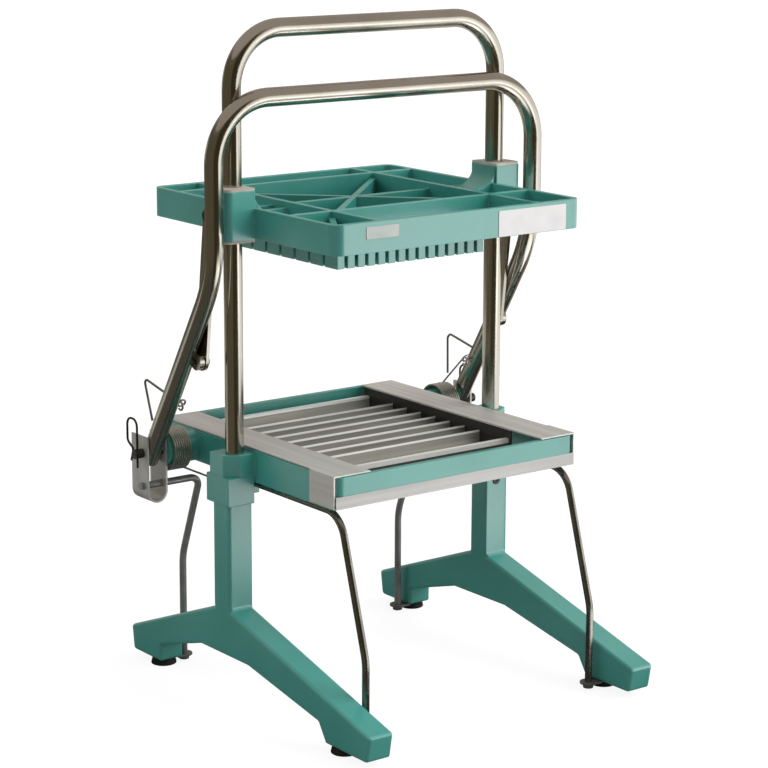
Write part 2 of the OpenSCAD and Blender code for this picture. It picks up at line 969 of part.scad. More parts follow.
// Centre line of the right lift spring, from its seat in the leg to the hook in the arm's eye
hook_start = hook_point(leave_angle);
hook_end = hook_point(leave_angle + 240);
spring_path = concat(
  [[spring_in_x, head_rear - spring_seat + 0.5, pivot_z - spring_r]],
  [[spring_in_x, head_rear - spring_seat + 0.5 + spring_wire, pivot_z - spring_r]],
  [for (i = [0 : 8 * spring_turns]) coil_point(i / 8)],
  [for (i = [1 : 3]) coil_point(spring_turns + i / 3 * leave_turn)],
  [for (i = [0 : 6]) hook_point(leave_angle + 40 * i)],
  [hook_end + spring_wire * [0, -sin(leave_angle + 240), cos(leave_angle + 240)]]
);

// Least gap between stretches of a wire that aren't neighbours, from points four to a step of its centre line
function fine(p) = [for (i = [0 : len(p) - 2], k = [0 : 3]) p[i] + (p[i + 1] - p[i]) * k / 4];
function least_gap(q, d, skip) = min([for (i = [0 : len(q) - 1 - skip]) min([for (j = [i + skip : len(q) - 1])
  norm(q[j] - q[i])])]) - d;
echo(spring_least_gap = least_gap(fine(spring_path), spring_wire, 16));

// Direction of the path at point i
function heading(p, i) = unit(p[min(i + 1, len(p) - 1)] - p[max(i - 1, 0)]);

// Ring of wire round point i, its first corner turned towards the coil's axis
function ring(p, i, r, sides) =
  let (t = heading(p, i), a = unit(cross(t, [0.83, 0.2, 0.53])), b = cross(t, a))
  [for (k = [0 : sides - 1]) p[i] + r * (cos(360 * k / sides) * a + sin(360 * k / sides) * b)];

// Wire along the path p
module wire(p, d) {
  sides = 6;
  last = len(p) - 1;
  rings = [for (i = [0 : last]) each ring(p, i, d / 2, sides)];
  skin = [for (i = [0 : last - 1], k = [0 : sides - 1])
    each [
      [i * sides + k, i * sides + (k + 1) % sides, (i + 1) * sides + k],
      [i * sides + (k + 1) % sides, (i + 1) * sides + (k + 1) % sides, (i + 1) * sides + k]
    ]];
  ends = concat(
    [for (k = [1 : sides - 2]) [0, k + 1, k]],
    [for (k = [1 : sides - 2]) [last * sides, last * sides + k, last * sides + k + 1]]
  );
  polyhedron(points = rings, faces = [for (f = concat(skin, ends)) [f[0], f[2], f[1]]]);
}

module spring_right() {
  color(steel)
    placed()
      wire(spring_path, spring_wire);
}

module spring_left() {
  color(steel)
    placed()
      flip()
        wire(spring_path, spring_wire);
}

// Small eyes on the inner sides of the arms, which the springs hook into
module spring_eyes() {
  foot = [arm_x - tube_r + 0.6, pivot_y, pivot_z] + eye_s * arm_dir;
  color(steel)
    placed()
      for (s = [0, 1])
        mirror([s, 0, 0]) {
          bar([eye_x + eye_r - 0.4, foot[1], foot[2]], foot, eye_shank);
          translate([eye_x, foot[1], foot[2]])
            rotate([90 + arm_lean, 0, 0])
              rotate_extrude()
                translate([eye_r, 0])
                  circle(d = spring_wire);
        }
}

latch_root = [latch_x, pivot_y, pivot_z] + latch_s * arm_dir;
latch_peak = [latch_x, latch_peak_y, latch_peak_z];

// Bent wires that stand out behind the arms
module latch_wires() {
  color(steel)
    placed()
      for (s = [0, 1])
        mirror([s, 0, 0])
          bent_bar([latch_root, latch_peak, [latch_end_x, latch_end_y, latch_end_z]], [0, 5, 0], latch_wire);
}

// Stay on the right side, from the leg's head forward under the tray and down to the toe
module front_stay() {
  bent_bar([
    [rod_x, front_rod_end - 0.5, front_rod_z],
    [rod_x, front_rod_corner, front_rod_z],
    [rod_x, front_rod_foot, front_rod_knee],
    [rod_x, front_rod_foot, rod_tip]
  ], [0, front_elbow, rod_knee_bend, 0], rod_d);
}

// Stay on the right side, from the pivot bracket down to the heel
module rear_stay() {
  bent_bar([
    [bracket_out_x + 4, rear_rod_y, rear_rod_z],
    [rod_x, rear_rod_y, rear_rod_z],
    [rod_x, rear_rod_foot, rear_rod_knee],
    [rod_x, rear_rod_foot, rod_tip]
  ], [0, rod_elbow, rod_knee_bend, 0], rod_d);
}

module front_stay_left() {
  color(steel)
    placed()
      flip()
        front_stay();
}

module front_stay_right() {
  color(steel)
    placed()
      front_stay();
}

module rear_stay_left() {
  color(steel)
    placed()
      flip()
        rear_stay();
}

module rear_stay_right() {
  color(steel)
    placed()
      rear_stay();
}

module stay_clips() {
  reach = leg_in_x + 0.5 - rod_x;
  color(rubber)
    placed()
      for (s = [0, 1], y = [front_rod_foot, rear_rod_foot])
        mirror([s, 0, 0])
          translate([rod_x, y, rubber_h - clip_h])
            difference() {
              union() {
                cylinder(r = clip_r, h = clip_h);
                translate([0, -clip_r, 0])
                  cube([reach, 2 * clip_r, clip_h]);
              }
              translate([0, 0, -weld])
                cylinder(r = rod_r + run_fit, h = clip_h + 2 * weld);
              translate([reach, -clip_r - weld, -weld])
                cube([clip_r, 2 * (clip_r + weld), clip_h + 2 * weld]);
            }
}

left_leg();
right_leg();
rubber_feet();
base_tray();
front_band();
guide_loop();
post_screws();
blade_rail_left();
blade_rail_right();
knives();
front_bar();
back_bar();
pusher_head();
finger_block();
guide_bushings();
handle_loop();
spring_eyes();
latch_wires();
lower_link_bolts();
link_left();
link_right();
upper_link_bolts();
bracket_left();
bracket_right();
pivot_pins();
pin_clips();
spring_left();
spring_right();
front_stay_left();
front_stay_right();
rear_stay_left();
rear_stay_right();
stay_clips();
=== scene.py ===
import math

import bmesh
import bpy
from mathutils import Matrix, Vector

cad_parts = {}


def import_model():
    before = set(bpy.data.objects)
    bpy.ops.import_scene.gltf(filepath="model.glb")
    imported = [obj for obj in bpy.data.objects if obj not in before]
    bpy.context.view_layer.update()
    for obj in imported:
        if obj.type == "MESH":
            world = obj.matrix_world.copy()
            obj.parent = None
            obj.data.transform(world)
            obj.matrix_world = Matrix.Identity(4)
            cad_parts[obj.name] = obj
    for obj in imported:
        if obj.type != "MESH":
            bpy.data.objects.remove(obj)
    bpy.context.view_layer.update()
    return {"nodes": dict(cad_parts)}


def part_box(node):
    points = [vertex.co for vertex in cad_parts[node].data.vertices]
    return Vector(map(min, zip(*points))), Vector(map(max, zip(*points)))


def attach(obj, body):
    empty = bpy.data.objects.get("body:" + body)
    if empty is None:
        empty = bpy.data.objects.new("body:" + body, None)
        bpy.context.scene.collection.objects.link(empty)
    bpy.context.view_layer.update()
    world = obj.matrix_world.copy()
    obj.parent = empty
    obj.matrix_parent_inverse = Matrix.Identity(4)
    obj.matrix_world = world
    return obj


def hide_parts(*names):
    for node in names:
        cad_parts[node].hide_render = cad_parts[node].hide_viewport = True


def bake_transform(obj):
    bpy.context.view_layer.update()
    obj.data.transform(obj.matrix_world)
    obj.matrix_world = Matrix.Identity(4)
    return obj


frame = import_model()
nodes = frame["nodes"]

# Camera, worked out from the photograph: degrees, metres, pixels of a 768 x 768 picture
PICTURE = 768
FOCAL_PX = 2476.57
CENTRE_PX = 383
SENSOR_MM = 36
AZIMUTH, ELEVATION, ROLL = (math.radians(a) for a in (-37.04, 12.65, 0.24))
# Plane of the guide posts behind the origin
POST_Y = 0.0345
CAMERA_AT = Vector((-1.5133, -2.0324 + POST_Y, 0.8811))
CLIP_END = 50

# Stretch of a noise that makes brushed grain along an axis
ALONG_X, ALONG_Y, ALONG_Z = (0.03, 1, 1), (1, 0.03, 1), (1, 1, 0.03)
# Softened edges of the enamel: metres, share of the lighter edge colour (wear and a painted highlight),
# and how far the two normals agree
EDGE_SAMPLES, EDGE_RADIUS = 8, 0.0013
WEAR_HIGHLIGHT_RADIUS, WEAR_HIGHLIGHT_MOST = 0.0014, 0.7
EDGE_MATCH, FLAT_MATCH = 0.80, 0.98
# Least angle of an edge that gets rounded
SHARP = math.radians(30)
# Blur between the painted highlight band and the painted shade below it on knives and bars, and between
# the brushed top and the painted shadow on the rails: metres
HIGHLIGHT_BAND_BLUR, RAIL_SHADOW_BLUR = 0.0003, 0.0002


def towards(azimuth, elevation):
    """Unit vector. Degrees: azimuth from -Y towards +X."""
    a, e = math.radians(azimuth), math.radians(elevation)
    return Vector((math.sin(a) * math.cos(e), -math.cos(a) * math.cos(e), math.sin(e)))


def camera():
    to_camera = towards(math.degrees(AZIMUTH), math.degrees(ELEVATION))
    level = Vector((math.cos(AZIMUTH), math.sin(AZIMUTH), 0))
    upright = to_camera.cross(level)
    right = level * math.cos(ROLL) + upright * math.sin(ROLL)
    up = -level * math.sin(ROLL) + upright * math.cos(ROLL)
    data = bpy.data.cameras.new("camera")
    data.sensor_width = SENSOR_MM
    data.lens = FOCAL_PX * SENSOR_MM / PICTURE
    data.shift_x = (PICTURE / 2 - CENTRE_PX) / PICTURE
    data.shift_y = (CENTRE_PX - PICTURE / 2) / PICTURE
    data.clip_end = CLIP_END
    obj = bpy.data.objects.new("camera", data)
    turn = Matrix((right, up, to_camera)).transposed()
    obj.matrix_world = Matrix.Translation(CAMERA_AT) @ turn.to_4x4()
    bpy.context.scene.collection.objects.link(obj)
    bpy.context.scene.camera = obj


class Look:
    """A node material being built."""

    def __init__(self, name):
        self.mat = bpy.data.materials.new(name)
        self.mat.use_nodes = True
        self.tree = self.mat.node_tree
        self.bsdf = self.tree.nodes["Principled BSDF"]

    def node(self, kind, **values):
        made = self.tree.nodes.new(kind)
        for key, value in values.items():
            if key in made.inputs:
                made.inputs[key].default_value = value
            else:
                setattr(made, key, value)
        return made

    def link(self, out, into):
        self.tree.links.new(out, into)

    def set(self, **values):
        for key, value in values.items():
            self.bsdf.inputs[key.replace("_", " ")].default_value = value
        return self

    def noise(self, scale, detail=3.0, stretch=(1, 1, 1), rough=0.5):
        coords = self.node("ShaderNodeTexCoord")
        mapping = self.node("ShaderNodeMapping")
        mapping.inputs["Scale"].default_value = stretch
        self.link(coords.outputs["Object"], mapping.inputs["Vector"])
        noise = self.node("ShaderNodeTexNoise", Scale=scale, Detail=detail, Roughness=rough)
        self.link(mapping.outputs["Vector"], noise.inputs["Vector"])
        return noise.outputs["Fac"]

    def place(self, axis):
        coords = self.node("ShaderNodeTexCoord")
        parts = self.node("ShaderNodeSeparateXYZ")
        self.link(coords.outputs["Object"], parts.inputs["Vector"])
        return parts.outputs[axis]

    def height(self, low, high):
        """0 below the low height, 1 above the high one."""
        return self.span(self.place("Z"), 0, 1, low, high)

    def math(self, operation, first, second=None):
        made = self.node("ShaderNodeMath", operation=operation)
        self.link(first, made.inputs[0])
        if second:
            self.link(second, made.inputs[1])
        return made.outputs["Value"]

    def edges(self, radius, most):
        """The given share on sharp edges, 0 away from them."""
        soft = self.node("ShaderNodeBevel", samples=EDGE_SAMPLES, Radius=radius)
        plain = self.node("ShaderNodeNewGeometry")
        match = self.node("ShaderNodeVectorMath", operation="DOT_PRODUCT")
        self.link(soft.outputs["Normal"], match.inputs[0])
        self.link(plain.outputs["Normal"], match.inputs[1])
        return self.span(match.outputs["Value"], most, 0, EDGE_MATCH, FLAT_MATCH)

    def ramp(self, fac, stops):
        ramp_node = self.node("ShaderNodeValToRGB")
        ramp = ramp_node.color_ramp
        while len(ramp.elements) < len(stops):
            ramp.elements.new(0.5)
        for element, (place, colour) in zip(ramp.elements, stops):
            element.position = place
            element.color = (*colour, 1)
        self.link(fac, ramp_node.inputs["Fac"])
        return ramp_node.outputs["Color"]

    def span(self, fac, low, high, start=0.3, end=0.7):
        made = self.node("ShaderNodeMapRange")
        made.inputs["From Min"].default_value = start
        made.inputs["From Max"].default_value = end
        made.inputs["To Min"].default_value = low
        made.inputs["To Max"].default_value = high
        self.link(fac, made.inputs["Value"])
        return made.outputs["Result"]

    def mix(self, fac, first, second):
        made = self.node("ShaderNodeMix", data_type="RGBA")
        colour_a, colour_b, colour_out = made.inputs[6], made.inputs[7], made.outputs[2]
        self.link(fac, made.inputs["Factor"])
        self.link(first, colour_a)
        self.link(second, colour_b)
        return colour_out

    def colour(self, fac, stops):
        self.link(self.ramp(fac, stops), self.bsdf.inputs["Base Color"])

    def roughness(self, fac, low, high):
        self.link(self.span(fac, low, high), self.bsdf.inputs["Roughness"])

    def bump(self, fac, strength, distance, edge=None):
        """Fine relief, on edges softened over a radius if one is given."""
        bump = self.node("ShaderNodeBump", Strength=strength, Distance=distance)
        self.link(fac, bump.inputs["Height"])
        if edge:
            soft = self.node("ShaderNodeBevel", samples=EDGE_SAMPLES, Radius=edge)
            self.link(soft.outputs["Normal"], bump.inputs["Normal"])
        self.link(bump.outputs["Normal"], self.bsdf.inputs["Normal"])


def enamel():
    look = Look("teal_enamel").set(IOR=2.1, Coat_Weight=0.3, Coat_Roughness=0.2)
    cast = look.noise(9, 4)
    body = look.ramp(cast, [
        (0.3, (0.028, 0.215, 0.182)),
        (0.5, (0.036, 0.245, 0.210)),
        (0.72, (0.050, 0.275, 0.240)),
    ])
    # Lighter colour on sharp edges: partly wear, partly a painted highlight along the edges
    worn_and_highlight = look.ramp(look.noise(60, 3), [(0.35, (0.06, 0.34, 0.28)), (0.7, (0.14, 0.48, 0.41))])
    edges = look.edges(WEAR_HIGHLIGHT_RADIUS, WEAR_HIGHLIGHT_MOST)
    look.link(look.mix(edges, body, worn_and_highlight), look.bsdf.inputs["Base Color"])
    look.roughness(cast, 0.28, 0.37)
    look.bump(look.noise(240, 1), 0.08, 0.0005, edge=EDGE_RADIUS)
    return look.mat


def tube_steel():
    look = Look("tube_steel").set(Metallic=1.0)
    look.colour(look.noise(14, 5, (1, 1, 0.25)), [
        (0.3, (0.44, 0.415, 0.36)),
        (0.5, (0.50, 0.475, 0.42)),
        (0.75, (0.55, 0.53, 0.485)),
    ])
    look.roughness(look.noise(220, 3, (1, 1, 0.08)), 0.13, 0.22)
    look.bump(look.noise(900, 2, (1, 1, 0.05)), 0.04, 0.0002)
    return look.mat


def sheet_steel(name, stretch, low, high, rough=(0.4, 0.58), metallic=0.7):
    look = Look(name).set(Metallic=metallic)
    look.colour(look.noise(120, 4, stretch), [
        (0.25, low),
        (0.75, high),
    ])
    look.roughness(look.noise(260, 3, stretch), *rough)
    look.bump(look.noise(900, 2, stretch), 0.08, 0.0002)
    return look.mat


def edge_look(name, top, depth, low, high):
    """Bright band along the top, a sharpened edge with a painted highlight, and darker painted shade on
    the faces below it.
    """
    look = Look(name).set(Metallic=0.5)
    shaded_flats = look.ramp(look.noise(90, 4, ALONG_X), [(0.3, low), (0.7, high)])
    edge = look.ramp(look.noise(200, 3, ALONG_X), [
        (0.3, (0.76, 0.75, 0.71)),
        (0.7, (0.90, 0.89, 0.86)),
    ])
    # Mask of the painted highlight band: 1 above its lower edge, 0 on the painted shade below
    highlight_band = look.height(top - depth - HIGHLIGHT_BAND_BLUR, top - depth + HIGHLIGHT_BAND_BLUR)
    look.link(look.mix(highlight_band, shaded_flats, edge), look.bsdf.inputs["Base Color"])
    look.roughness(look.noise(260, 3, ALONG_X), 0.34, 0.55)
    look.bump(look.noise(900, 2, ALONG_X), 0.08, 0.0002)
    return look.mat


def rail_look(inner_x, bottom):
    """Brushed top and tab; the inner flange below the top is near black, a painted shadow."""
    look = Look("rail_steel").set(Metallic=0.7)
    clean = look.ramp(look.noise(120, 4, ALONG_Y), [
        (0.25, (0.66, 0.645, 0.62)),
        (0.75, (0.84, 0.825, 0.80)),
    ])
    # Painted shadow on the inner flange, beside the ends of the knives
    flange_painted_shadow = look.ramp(look.noise(90, 4, ALONG_Y), [
        (0.3, (0.035, 0.032, 0.027)),
        (0.7, (0.09, 0.08, 0.07)),
    ])
    outer = look.span(look.math("ABSOLUTE", look.place("X")), 0, 1, inner_x, inner_x + RAIL_SHADOW_BLUR)
    shows = look.math("MAXIMUM", outer, look.height(bottom - RAIL_SHADOW_BLUR, bottom))
    look.link(look.mix(shows, flange_painted_shadow, clean), look.bsdf.inputs["Base Color"])
    look.roughness(look.noise(260, 3, ALONG_Y), 0.4, 0.58)
    look.bump(look.noise(900, 2, ALONG_Y), 0.08, 0.0002)
    return look.mat


def plain_metal(name, low, high, rough, metallic=1.0):
    look = Look(name).set(Metallic=metallic)
    look.colour(look.noise(60, 4), [(0.3, low), (0.7, high)])
    look.roughness(look.noise(180, 3), *rough)
    look.bump(look.noise(1200, 2), 0.06, 0.0001)
    return look.mat


def rubber():
    look = Look("black_rubber").set(IOR=1.45)
    look.colour(look.noise(80, 4), [(0.3, (0.006, 0.006, 0.006)), (0.75, (0.018, 0.018, 0.017))])
    look.roughness(look.noise(200, 3), 0.55, 0.8)
    look.bump(look.noise(1500, 2), 0.2, 0.0002)
    return look.mat


def nylon():
    look = Look("pale_nylon").set(IOR=1.5)
    look.colour(look.noise(50, 4), [(0.3, (0.36, 0.32, 0.27)), (0.75, (0.50, 0.46, 0.40))])
    look.roughness(look.noise(150, 3), 0.42, 0.6)
    look.bump(look.noise(900, 2), 0.08, 0.0002)
    return look.mat


def plate_face(name, low, high):
    look = Look(name).set(IOR=1.45)
    look.colour(look.noise(40, 5), [(0.3, low), (0.75, high)])
    look.roughness(look.noise(120, 3), 0.4, 0.6)
    look.bump(look.noise(500, 2), 0.05, 0.0001)
    return look.mat


# Rail's inner flange and top sheet, and depth of the painted highlight band along the tops of knives and
# bars: metres
RAIL_FLANGE, RAIL_SHEET = 0.0025, 0.0016
KNIFE_HIGHLIGHT, FRONT_HIGHLIGHT, BACK_HIGHLIGHT = 0.0022, 0.0045, 0.0028

teal = enamel()
tube = tube_steel()
rail_low, rail_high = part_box("blade_rail_right")
rail_steel = rail_look(rail_low.x + RAIL_FLANGE, rail_high.z - RAIL_SHEET)
knife_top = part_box("knives")[1].z
# Knives: painted highlight band on top, painted shade on the faces below it, where the next blade shades
# them
knife_steel = edge_look("knife_steel", knife_top, KNIFE_HIGHLIGHT, (0.17, 0.165, 0.14), (0.32, 0.31, 0.275))
# Front bar: nearly black below its band, a painted shadow of the gap between the bar and the tray's front
# wall
front_steel = edge_look("front_bar_steel", knife_top, FRONT_HIGHLIGHT, (0.04, 0.036, 0.03), (0.09, 0.08, 0.07))
back_steel = edge_look("back_bar_steel", knife_top, BACK_HIGHLIGHT, (0.22, 0.21, 0.18), (0.36, 0.35, 0.31))
band_steel = sheet_steel("band_steel", ALONG_X, (0.38, 0.375, 0.37), (0.48, 0.475, 0.47), (0.3, 0.45))
strap_steel = sheet_steel("strap_steel", ALONG_Z, (0.50, 0.495, 0.48), (0.70, 0.695, 0.68))
dark_steel = plain_metal("dark_steel", (0.06, 0.06, 0.058), (0.13, 0.13, 0.125), (0.3, 0.5))
rod_steel = plain_metal("rod_steel", (0.26, 0.25, 0.23), (0.38, 0.37, 0.345), (0.2, 0.32))
stay_steel = plain_metal("stay_steel", (0.24, 0.23, 0.22), (0.34, 0.33, 0.32), (0.3, 0.45), 0.6)
clip_steel = plain_metal("clip_steel", (0.16, 0.155, 0.15), (0.28, 0.275, 0.27), (0.35, 0.55), 0.7)
wire_steel = plain_metal("wire_steel", (0.20, 0.195, 0.185), (0.32, 0.315, 0.30), (0.25, 0.4), 0.85)
spring_steel = plain_metal("spring_steel", (0.58, 0.58, 0.54), (0.74, 0.74, 0.70), (0.25, 0.4))
black = rubber()
cream = nylon()

finish_of = {
    "left_leg": teal, "right_leg": teal, "base_tray": teal, "pusher_head": teal, "finger_block": teal,
    "guide_loop": tube, "handle_loop": tube, "link_left": tube, "link_right": tube,
    "blade_rail_left": rail_steel, "blade_rail_right": rail_steel, "front_band": band_steel,
    "knives": knife_steel, "front_bar": front_steel, "back_bar": back_steel,
    "bracket_left": strap_steel, "bracket_right": strap_steel,
    "spring_left": spring_steel, "spring_right": spring_steel,
    "front_stay_left": rod_steel, "front_stay_right": rod_steel,
    "rear_stay_left": stay_steel, "rear_stay_right": stay_steel,
    "spring_eyes": spring_steel, "latch_wires": wire_steel,
    "rubber_feet": black, "guide_bushings": cream,
}
for name, obj in nodes.items():
    obj.data.materials.clear()
    obj.data.materials.append(finish_of.get(name, dark_steel))

# Rounded edges of legs and rubber feet: metres. On the legs only long edges below the head
LEG_ROUND, RUBBER_ROUND, ROUND_STEPS = 0.0034, 0.0015, 4
LEAST_EDGE, HEAD_BOTTOM = 0.006, 0.2095
# Points this close are one, and faces within this angle count as flat
WELD, FLAT_ANGLE = 1e-6, math.radians(0.5)
NORMAL_WEIGHT = 90


def edge_picker(name, least, top):
    """Modifier nodes that pick the long sharp edges below a height for rounding."""
    group = bpy.data.node_groups.new(name, "GeometryNodeTree")
    for way in ("INPUT", "OUTPUT"):
        group.interface.new_socket("Geometry", in_out=way, socket_type="NodeSocketGeometry")

    def node(kind, **values):
        made = group.nodes.new(kind)
        for key, value in values.items():
            setattr(made, key, value)
        return made

    def math_node(operation, first, second):
        made = node("ShaderNodeMath", operation=operation)
        group.links.new(first, made.inputs[0])
        if isinstance(second, float):
            made.inputs[1].default_value = second
        else:
            group.links.new(second, made.inputs[1])
        return made.outputs["Value"]

    ends = node("GeometryNodeInputMeshEdgeVertices")
    length = node("ShaderNodeVectorMath", operation="DISTANCE")
    group.links.new(ends.outputs["Position 1"], length.inputs[0])
    group.links.new(ends.outputs["Position 2"], length.inputs[1])
    angle = node("GeometryNodeInputMeshEdgeAngle")
    place = node("ShaderNodeSeparateXYZ")
    group.links.new(node("GeometryNodeInputPosition").outputs["Position"], place.inputs["Vector"])
    long = math_node("GREATER_THAN", length.outputs["Value"], least)
    sharp = math_node("GREATER_THAN", angle.outputs["Unsigned Angle"], SHARP)
    low = math_node("LESS_THAN", place.outputs["Z"], top)
    picked = math_node("MULTIPLY", math_node("MULTIPLY", long, sharp), low)
    store = node("GeometryNodeStoreNamedAttribute", data_type="FLOAT", domain="EDGE")
    store.inputs["Name"].default_value = "bevel_weight_edge"
    group.links.new(picked, store.inputs["Value"])
    crease = node("GeometryNodeSetShadeSmooth", domain="EDGE")
    crease.inputs["Shade Smooth"].default_value = False
    group.links.new(math_node("GREATER_THAN", sharp, picked), crease.inputs["Selection"])
    group.links.new(node("NodeGroupInput").outputs["Geometry"], store.inputs["Geometry"])
    group.links.new(store.outputs["Geometry"], crease.inputs["Geometry"])
    group.links.new(crease.outputs["Geometry"], node("NodeGroupOutput").inputs["Geometry"])
    return group


def round_edges(name, width, picker=None):
    """Rounds the picked edges of a node, or else all its sharp ones, without touching its mesh."""
    stack = nodes[name].modifiers
    stack.new("weld", "WELD").merge_threshold = WELD
    flat = stack.new("flat", "DECIMATE")
    flat.decimate_type = "DISSOLVE"
    flat.angle_limit = FLAT_ANGLE
    if picker:
        stack.new("pick", "NODES").node_group = picker
    bevel = stack.new("round", "BEVEL")
    bevel.width = width
    bevel.segments = ROUND_STEPS
    bevel.limit_method = "WEIGHT" if picker else "ANGLE"
    bevel.angle_limit = SHARP
    shade = stack.new("shade", "WEIGHTED_NORMAL")
    shade.weight = NORMAL_WEIGHT
    shade.keep_sharp = True


long_edges = edge_picker("long_edges", LEAST_EDGE, HEAD_BOTTOM)
round_edges("left_leg", LEG_ROUND, long_edges)
round_edges("right_leg", LEG_ROUND, long_edges)
round_edges("rubber_feet", RUBBER_ROUND)


def new_object(name, mesh, material):
    mesh.materials.append(material)
    obj = bpy.data.objects.new(name, mesh)
    bpy.context.scene.collection.objects.link(obj)
    return obj


def finished(bm, name, material):
    """Object from a mesh being edited, which ends here."""
    mesh = bpy.data.meshes.new(name)
    bm.to_mesh(mesh)
    bm.free()
    return new_object(name, mesh, material)


def soften(obj, width, steps):
    """Rounds the sharp edges of a new piece."""
    bevel = obj.modifiers.new("round", "BEVEL")
    bevel.width = width
    bevel.segments = steps
    bevel.limit_method = "ANGLE"
    bevel.angle_limit = SHARP


def swept_wire(bm, path, radius, sides):
    """Closed round wire along the path."""
    rings = []
    side = (path[1] - path[0]).orthogonal().normalized()
    for i, point in enumerate(path):
        ahead = (path[min(i + 1, len(path) - 1)] - path[max(i - 1, 0)]).normalized()
        side = (side - ahead * side.dot(ahead)).normalized()
        other = ahead.cross(side)
        turns = [2 * math.pi * k / sides for k in range(sides)]
        around = [point + radius * (math.cos(t) * side + math.sin(t) * other) for t in turns]
        rings.append([bm.verts.new(place) for place in around])
    for a, b in zip(rings, rings[1:]):
        for k in range(sides):
            bm.faces.new((a[k], a[(k + 1) % sides], b[(k + 1) % sides], b[k])).smooth = True
    bm.faces.new(rings[0][::-1])
    bm.faces.new(rings[-1])


# Lift springs: metres and degrees, from the guide posts' plane
PIVOT = Vector((0, 0.101, 0.248))
COIL_IN_X, COIL_PITCH, COIL_R, COIL_TURNS = 0.167137, 0.00265, 0.0216, 8
COIL_STEPS, HOOK_STEPS, HOOK_STEP = 210, 12, math.radians(20)
WIRE_R, WIRE_SIDES = 0.0011, 12
SEAT_Y = 0.019
# Points of the straight foot, as shares of the way from the seat to the coil
FOOT_POINTS = (0, 0.03, 0.5)
HOOK_X, HOOK_OUT, HOOK_R = 0.18735, 0.0608, 0.0042
ARM_LEAN, LEAVE = math.radians(31.027), math.radians(47.6567)
# The coil starts at its lowest point
COIL_START = -math.pi / 2


def coil_point(turns):
    a = 2 * math.pi * turns + COIL_START
    return PIVOT + Vector((COIL_IN_X + turns * COIL_PITCH, COIL_R * math.cos(a), COIL_R * math.sin(a)))


def hook_point(a):
    middle = PIVOT + Vector((HOOK_X, -HOOK_OUT * math.sin(ARM_LEAN), HOOK_OUT * math.cos(ARM_LEAN)))
    return middle + HOOK_R * Vector((0, math.cos(a), math.sin(a)))


def spring_path(side):
    """Middle line of the wire: straight foot, coil, hook round the spring eye, tail."""
    leave_turns = COIL_TURNS + (LEAVE - COIL_START) / (2 * math.pi)
    coil = [coil_point(leave_turns * i / COIL_STEPS) for i in range(COIL_STEPS + 1)]
    hook = [hook_point(LEAVE + HOOK_STEP * i) for i in range(HOOK_STEPS + 1)]
    end = LEAVE + HOOK_STEP * HOOK_STEPS
    tail = hook[-1] + 2 * WIRE_R * Vector((0, -math.sin(end), math.cos(end)))
    foot_y = [SEAT_Y + share * (PIVOT.y - SEAT_Y) for share in FOOT_POINTS]
    foot = [Vector((COIL_IN_X, y, PIVOT.z - COIL_R)) for y in foot_y]
    path = foot + coil + hook + [tail]
    return [Vector((side * p.x, p.y + POST_Y, p.z)) for p in path]


for name, side in (("spring_left", -1), ("spring_right", 1)):
    bm = bmesh.new()
    swept_wire(bm, spring_path(side), WIRE_R, WIRE_SIDES)
    bmesh.ops.recalc_face_normals(bm, faces=bm.faces)
    wound = finished(bm, "lift_" + name, spring_steel)
    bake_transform(wound)
    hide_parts(name)


# Two bare plates on the front of the pusher's rim: metres. Left, bottom, right, top and corner radius
SMALL_PLATE = (-0.118, 0.4965, -0.079, 0.5085, 0.001)
LARGE_PLATE = (0.046, 0.4835, 0.134, 0.5095, 0.0015)
PROUD, SUNK, CORNER_STEPS = 0.0006, 0.0002, 4


def plate(name, place, material):
    """Thin plate with round corners, flat against the pusher's front."""
    left, bottom, right, top, round_by = place
    face_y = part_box("pusher_head")[0].y
    low, high = Vector((left, face_y - PROUD, bottom)), Vector((right, face_y + SUNK, top))
    bm = bmesh.new()
    bmesh.ops.create_cube(bm, size=1)
    bmesh.ops.scale(bm, vec=high - low, verts=bm.verts)
    bmesh.ops.translate(bm, vec=(low + high) / 2, verts=bm.verts)
    across = [e for e in bm.edges if abs((e.verts[0].co - e.verts[1].co).y) > WELD]
    bmesh.ops.bevel(bm, geom=across, offset=round_by, segments=CORNER_STEPS, affect="EDGES", profile=0.5)
    obj = finished(bm, name, material)
    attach(obj, "pusher")


# Blends inside the guide bosses: metres. Centre and radius of the hollow, then the body behind it
FILLET_X, FILLET_Z, FILLET_R, FILLET_STEPS = 0.1305, 0.5308, 0.0236, 12
FILLET_BACK, FILLET_FOOT, FILLET_SLOPE, FILLET_HALF = 0.1556, 0.5045, 0.006, 0.0185
FILLET_ROUND, FILLET_ROUND_STEPS = 0.0012, 3


def boss_fillet(name, side):
    """Hollow blend between a guide boss and the inside of the rim."""
    arc = [math.pi / 2 * i / FILLET_STEPS for i in range(FILLET_STEPS + 1)]
    profile = [(FILLET_X + FILLET_R * math.cos(a), FILLET_Z - FILLET_R * math.sin(a)) for a in arc]
    profile += [
        (FILLET_X, FILLET_FOOT),
        (FILLET_BACK, FILLET_FOOT - FILLET_SLOPE),
        (FILLET_BACK, FILLET_Z),
    ]
    bm = bmesh.new()
    rings = [
        [bm.verts.new((side * x, POST_Y + y, z)) for x, z in profile]
        for y in (-FILLET_HALF, FILLET_HALF)
    ]
    count = len(profile)
    for i in range(count):
        k = (i + 1) % count
        face = bm.faces.new((rings[0][i], rings[0][k], rings[1][k], rings[1][i]))
        face.smooth = i < FILLET_STEPS
    bm.faces.new(rings[0])
    bm.faces.new(rings[1][::-1])
    bmesh.ops.recalc_face_normals(bm, faces=bm.faces)
    obj = finished(bm, name, teal)
    soften(obj, FILLET_ROUND, FILLET_ROUND_STEPS)
    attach(obj, "pusher")


